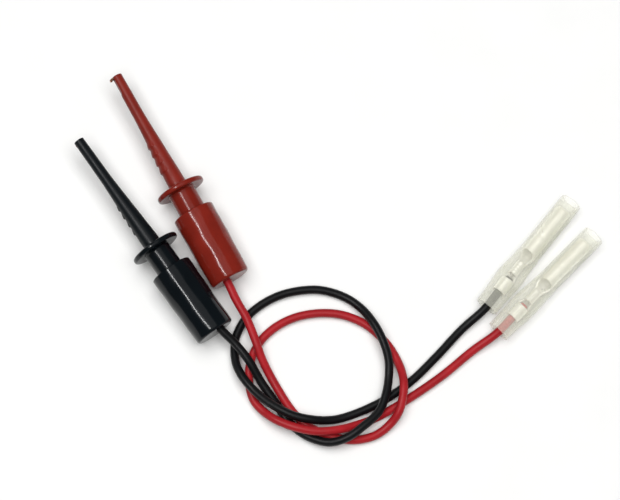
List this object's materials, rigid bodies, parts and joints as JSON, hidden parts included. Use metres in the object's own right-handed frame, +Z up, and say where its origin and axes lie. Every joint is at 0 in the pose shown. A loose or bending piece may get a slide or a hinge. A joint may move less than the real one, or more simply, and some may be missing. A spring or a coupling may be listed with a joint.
{
  "type": "hook clip test lead pair",
  "caption": "Red and black test leads, each with a plunger-action hook clip on one end and a female bullet terminal in a clear sleeve on the other.",
  "frame": {"origin": "middle of the two clips' box, on the table that they lie on", "axes": "+Z up from the table, +Y along the clips towards their tips, +X towards the bullet terminals"},
  "size_m": [0.1189, 0.0845, 0.0114],
  "materials": {
    "red_plastic": "gloss",
    "black_plastic": "gloss",
    "bronze": "drawn wire, slightly tarnished",
    "brass": "stamped",
    "solder": "bright solder",
    "spring_steel": "drawn",
    "tinned_copper": "tinned strands",
    "red_vinyl": "satin",
    "black_vinyl": "satin",
    "tinned_brass": "bright tin plate",
    "clear_vinyl": "translucent"
  },
  "bodies": {
    "leads": {"red_plunger_cap": "red_plastic", "red_hook": "bronze", "red_contact_washer": "brass", "red_solder_joint": "solder", "red_return_spring": "spring_steel", "red_wire_insulation": "red_vinyl", "red_wire_conductor": "tinned_copper", "red_bullet_terminal": "tinned_brass", "red_clear_sleeve": "clear_vinyl", "black_plunger_cap": "black_plastic", "black_hook": "bronze", "black_contact_washer": "brass", "black_solder_joint": "solder", "black_return_spring": "spring_steel", "black_wire_insulation": "black_vinyl", "black_wire_conductor": "tinned_copper", "black_bullet_terminal": "tinned_brass", "black_clear_sleeve": "clear_vinyl"},
    "red_barrel": {"red_barrel": "red_plastic"},
    "black_barrel": {"black_barrel": "black_plastic"}
  },
  "joints": [
    {"name": "red_barrel_draw", "type": "slide", "parent": "leads", "child": "red_barrel", "axis": [0.4888, -0.8711, -0.0469], "range_m": [0, 0.0048], "stiffness_N_per_m": 200, "springref_m": -0.0025, "deforming": ["red_return_spring"]},
    {"name": "black_barrel_draw", "type": "slide", "parent": "leads", "child": "black_barrel", "axis": [0.5815, -0.8122, -0.0469], "range_m": [0, 0.0048], "stiffness_N_per_m": 200, "springref_m": -0.0025, "deforming": ["black_return_spring"]}
  ]
}
